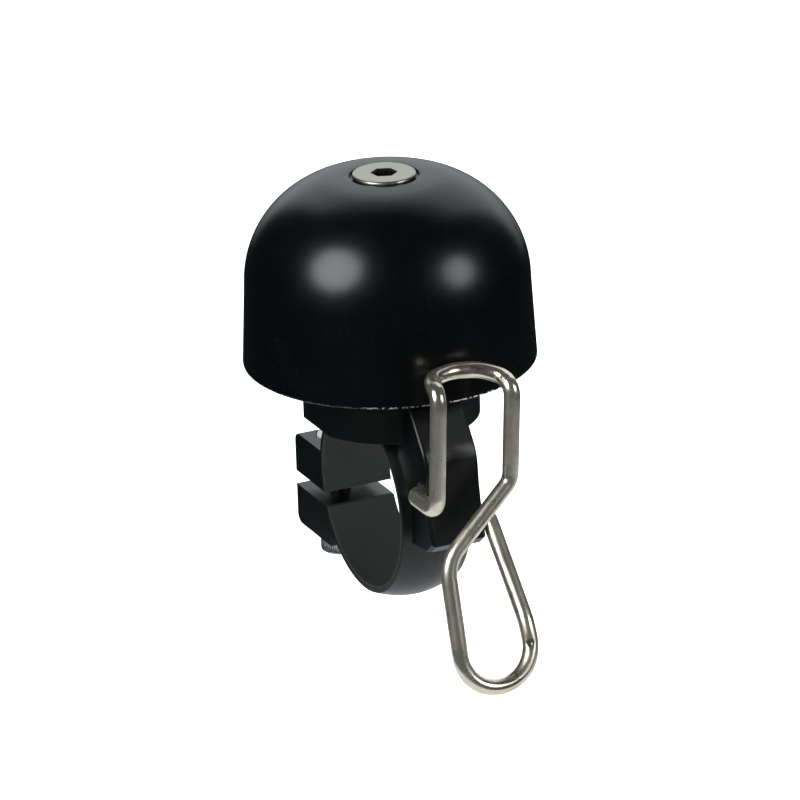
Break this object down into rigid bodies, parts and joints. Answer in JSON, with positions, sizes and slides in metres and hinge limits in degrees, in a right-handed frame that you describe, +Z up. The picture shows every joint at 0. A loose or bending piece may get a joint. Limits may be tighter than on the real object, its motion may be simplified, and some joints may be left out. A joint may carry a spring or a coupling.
{
  "type": "bicycle bell",
  "caption": "Compact handlebar bell with a deep rounded dome, a clamp bracket with a nose, and a bent wire thumb striker.",
  "frame": {"origin": "on the handlebar's axis, under the bell's axis, in the middle of the clamp band", "axes": "+X along the handlebar, +Z up the bell's axis, -Y towards the rider where the striker is"},
  "size_m": [0.0362, 0.0492, 0.0579],
  "materials": {
    "dome_black": "satin",
    "moulding_black": "semi-gloss",
    "liner_black": "matt",
    "washer_nylon": "matt",
    "wire_steel": "polished",
    "screw_steel": "satin",
    "insert_brass": "machined",
    "sleeve_alu": "machined"
  },
  "bodies": {
    "bell_base": {"dome": "dome_black", "bracket": "moulding_black", "bar_liner": "liner_black", "base_washer": "washer_nylon", "dome_washer": "washer_nylon", "dome_screw": "screw_steel", "clamp_screw": "screw_steel", "clamp_washer": "screw_steel", "clamp_nut": "screw_steel", "thread_insert": "insert_brass", "sleeve": "sleeve_alu"},
    "striker_wire": {"striker": "wire_steel"}
  },
  "joints": [
    {"name": "strike", "type": "hinge", "parent": "bell_base", "child": "striker_wire", "pos_m": [0, -0.0156, 0.00402], "axis": [-0.7664, 0.0333, 0.6415], "range_deg": [-7, 1.8], "stiffness_Nm_per_rad": 0.12}
  ]
}
